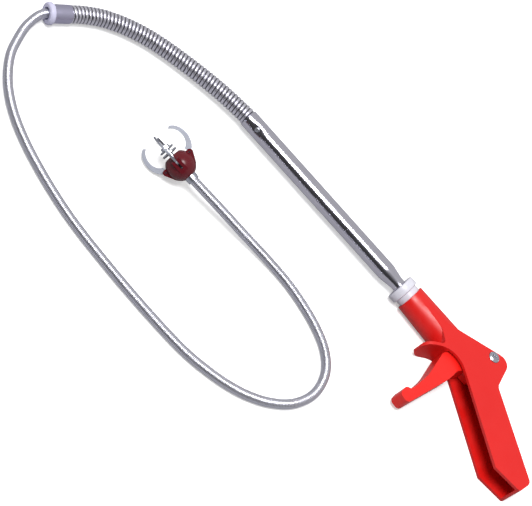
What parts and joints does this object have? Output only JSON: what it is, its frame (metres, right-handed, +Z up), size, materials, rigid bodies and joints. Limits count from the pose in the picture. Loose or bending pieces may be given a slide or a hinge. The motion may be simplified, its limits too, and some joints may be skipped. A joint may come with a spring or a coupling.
{
  "type": "drain auger",
  "caption": "Pistol-grip drain auger: a sprung trigger pulls a wire through a rigid tube, gooseneck conduit and long spring cable to close hooked claws on the head.",
  "frame": {"origin": "middle of the rigid part's footprint (handle, trigger and tube) on the surface that it lies on", "axes": "+X along the tube from the handle towards the conduit, +Y towards the trigger's finger end, +Z up from the surface"},
  "size_m": [0.5446, 0.2334, 0.0322],
  "materials": {
    "handle_abs": "satin moulded",
    "trigger_abs": "satin moulded",
    "nylon": "moulded nylon",
    "polished_tube": "bright plated steel",
    "zinc_steel": "zinc plated",
    "spring_steel": "drawn spring wire",
    "conduit_steel": "wound bright strip",
    "ferrule": "satin plated",
    "cap_plastic": "moulded",
    "brass": "turned",
    "head_plastic": "polished moulded",
    "claw_steel": "stamped and plated"
  },
  "bodies": {
    "handle": {"handle_body": "handle_abs", "pivot_bolt": "zinc_steel", "pivot_nut": "zinc_steel", "collar_nut": "nylon", "steel_tube": "polished_tube", "tube_rivet": "polished_tube", "sheath_anchor": "brass", "return_spring": "spring_steel", "spring_washer": "zinc_steel", "gooseneck_conduit": "conduit_steel", "conduit_ferrule": "ferrule", "end_cap": "cap_plastic", "conduit_liner_spring": "spring_steel", "spring_cable": "spring_steel", "core_wire": "spring_steel", "head_ball": "head_plastic", "cable_crimp": "zinc_steel", "claw_pin_1": "zinc_steel", "claw_pin_2": "zinc_steel", "claw_pin_3": "zinc_steel", "claw_pin_4": "zinc_steel"},
    "trigger": {"trigger": "trigger_abs", "linkage_pin": "zinc_steel"},
    "pull_rod": {"rod_eye": "zinc_steel", "pull_rod": "spring_steel", "rod_collar": "brass"},
    "plunger": {"plunger": "zinc_steel", "rear_disc": "zinc_steel", "front_disc": "zinc_steel", "plunger_nut": "zinc_steel"},
    "claw_1": {"claw_1": "claw_steel"},
    "claw_2": {"claw_2": "claw_steel"},
    "claw_3": {"claw_3": "claw_steel"},
    "claw_4": {"claw_4": "claw_steel"}
  },
  "joints": [
    {"name": "trigger_pivot", "type": "hinge", "parent": "handle", "child": "trigger", "pos_m": [-0.0975, -0.0464, 0.0125], "axis": [0, 0, 1], "range_deg": [0, 15.8], "stiffness_Nm_per_rad": 1.5, "springref_deg": -20.05},
    {"name": "pull_rod_slide", "type": "slide", "parent": "handle", "child": "pull_rod", "axis": [-1, 0, 0], "range_m": [0, 0.0041], "deforming": ["return_spring"]},
    {"name": "plunger_slide", "type": "slide", "parent": "handle", "child": "plunger", "axis": [-1, 0, 0], "range_m": [0, 0.0041]},
    {"name": "claw_1_hinge", "type": "hinge", "parent": "handle", "child": "claw_1", "pos_m": [0.1922, 0.07204, 0.02584], "axis": [0, 0.7071, -0.7071], "range_deg": [0, 24.5]},
    {"name": "claw_2_hinge", "type": "hinge", "parent": "handle", "child": "claw_2", "pos_m": [0.1922, 0.05436, 0.02584], "axis": [0, 0.7071, 0.7071], "range_deg": [0, 24.5]},
    {"name": "claw_3_hinge", "type": "hinge", "parent": "handle", "child": "claw_3", "pos_m": [0.1922, 0.05436, 0.00816], "axis": [0, -0.7071, 0.7071], "range_deg": [0, 24.5]},
    {"name": "claw_4_hinge", "type": "hinge", "parent": "handle", "child": "claw_4", "pos_m": [0.1922, 0.07204, 0.00816], "axis": [0, -0.7071, -0.7071], "range_deg": [0, 24.5]}
  ],
  "couplings": [
    {"joint": "pull_rod_slide", "follows": "trigger_pivot", "m_per_rad": 0.0147},
    {"joint": "plunger_slide", "follows": "trigger_pivot", "m_per_rad": 0.0147},
    {"joint": "claw_1_hinge", "follows": "trigger_pivot", "ratio": 1.54},
    {"joint": "claw_2_hinge", "follows": "trigger_pivot", "ratio": 1.54},
    {"joint": "claw_3_hinge", "follows": "trigger_pivot", "ratio": 1.54},
    {"joint": "claw_4_hinge", "follows": "trigger_pivot", "ratio": 1.54}
  ]
}
